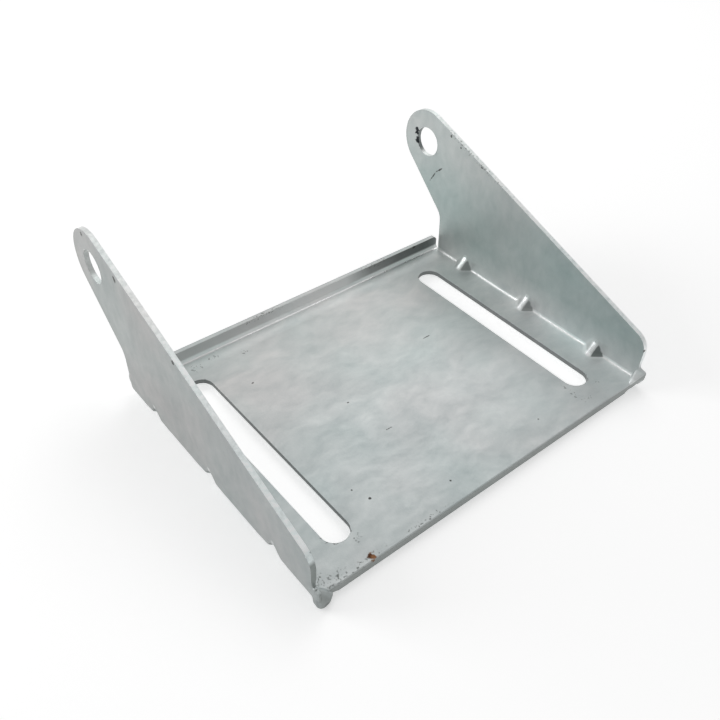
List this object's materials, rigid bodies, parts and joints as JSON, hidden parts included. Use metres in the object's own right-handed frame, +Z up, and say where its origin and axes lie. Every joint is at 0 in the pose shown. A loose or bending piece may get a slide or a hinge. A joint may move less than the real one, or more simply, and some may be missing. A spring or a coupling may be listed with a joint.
{
  "type": "stamped roller bracket",
  "caption": "Folded galvanised steel bracket: a slotted base plate with a low back lip and upright ears holed for a roller shaft.",
  "frame": {"origin": "on the plate's underside, midway between the slots", "axes": "+X along the shaft from the left ear to the right, +Y from the front edge to the back lip, +Z up from the plate"},
  "size_m": [0.218, 0.1965, 0.0912],
  "materials": {
    "galvanised_steel": "hot-dip galvanised, matt and cloudy"
  },
  "bodies": {
    "root": {"bracket": "galvanised_steel"}
  },
  "joints": []
}
